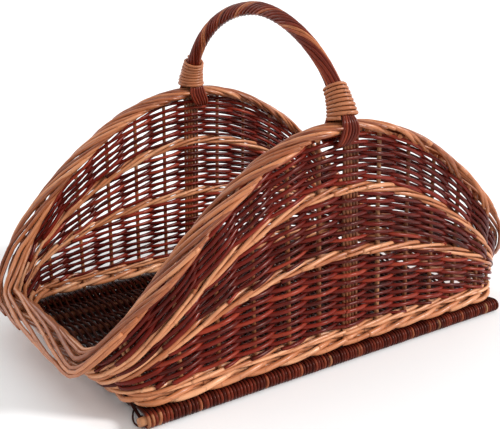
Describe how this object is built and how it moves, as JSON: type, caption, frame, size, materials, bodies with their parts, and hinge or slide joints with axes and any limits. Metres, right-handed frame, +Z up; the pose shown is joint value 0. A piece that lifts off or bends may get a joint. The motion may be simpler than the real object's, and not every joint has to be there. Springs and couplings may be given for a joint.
{
  "type": "wicker log basket",
  "caption": "Long open willow log basket with low flared ends, arched sides, plaited border and one roped bow handle over the middle.",
  "frame": {"origin": "on the floor, under the middle of the base", "axes": "+X along the length of the basket, +Y across it towards the back, +Z up"},
  "size_m": [0.6556, 0.381, 0.4153],
  "materials": {
    "base_willow": "dark boiled willow, satin",
    "stake_willow": "brown willow in its bark, satin",
    "dark_willow": "dark red brown steamed willow, satin with a soft gloss",
    "buff_willow": "peeled buff willow, satin",
    "handle_willow": "dark red brown willow, hand polished",
    "binding_willow": "thin buff willow, satin"
  },
  "bodies": {
    "root": {"base_edge_lapping_back": "base_willow", "base_edge_lapping_front": "base_willow", "base_edge_stick_back": "stake_willow", "base_edge_stick_front": "stake_willow", "base_inner_sticks": "stake_willow", "base_weave": "base_willow", "border_back": "buff_willow", "border_front": "buff_willow", "border_left": "buff_willow", "border_right": "buff_willow", "bottom_wale_back": "buff_willow", "bottom_wale_front": "buff_willow", "bottom_wale_left": "buff_willow", "bottom_wale_right": "buff_willow", "corner_stakes": "stake_willow", "end_stakes_left": "stake_willow", "end_stakes_right": "stake_willow", "handle_binding_back": "binding_willow", "handle_binding_front": "binding_willow", "handle_bow_rods": "stake_willow", "handle_liners_back": "stake_willow", "handle_liners_front": "stake_willow", "handle_roping": "handle_willow", "handle_tails_inner_back": "handle_willow", "handle_tails_inner_front": "handle_willow", "handle_tails_outer_back": "handle_willow", "handle_tails_outer_front": "handle_willow", "lower_wale_back": "buff_willow", "lower_wale_front": "buff_willow", "lower_wale_left": "buff_willow", "lower_wale_right": "buff_willow", "lower_weave_back": "dark_willow", "lower_weave_front": "dark_willow", "lower_weave_left": "dark_willow", "lower_weave_right": "dark_willow", "middle_weave_back": "dark_willow", "middle_weave_front": "dark_willow", "side_stakes_back": "stake_willow", "side_stakes_front": "stake_willow", "upper_wale_back": "buff_willow", "upper_wale_front": "buff_willow", "upper_wale_left": "buff_willow", "upper_wale_right": "buff_willow", "upper_weave_back": "dark_willow", "upper_weave_front": "dark_willow", "upper_weave_left": "dark_willow", "upper_weave_right": "dark_willow"}
  },
  "joints": []
}
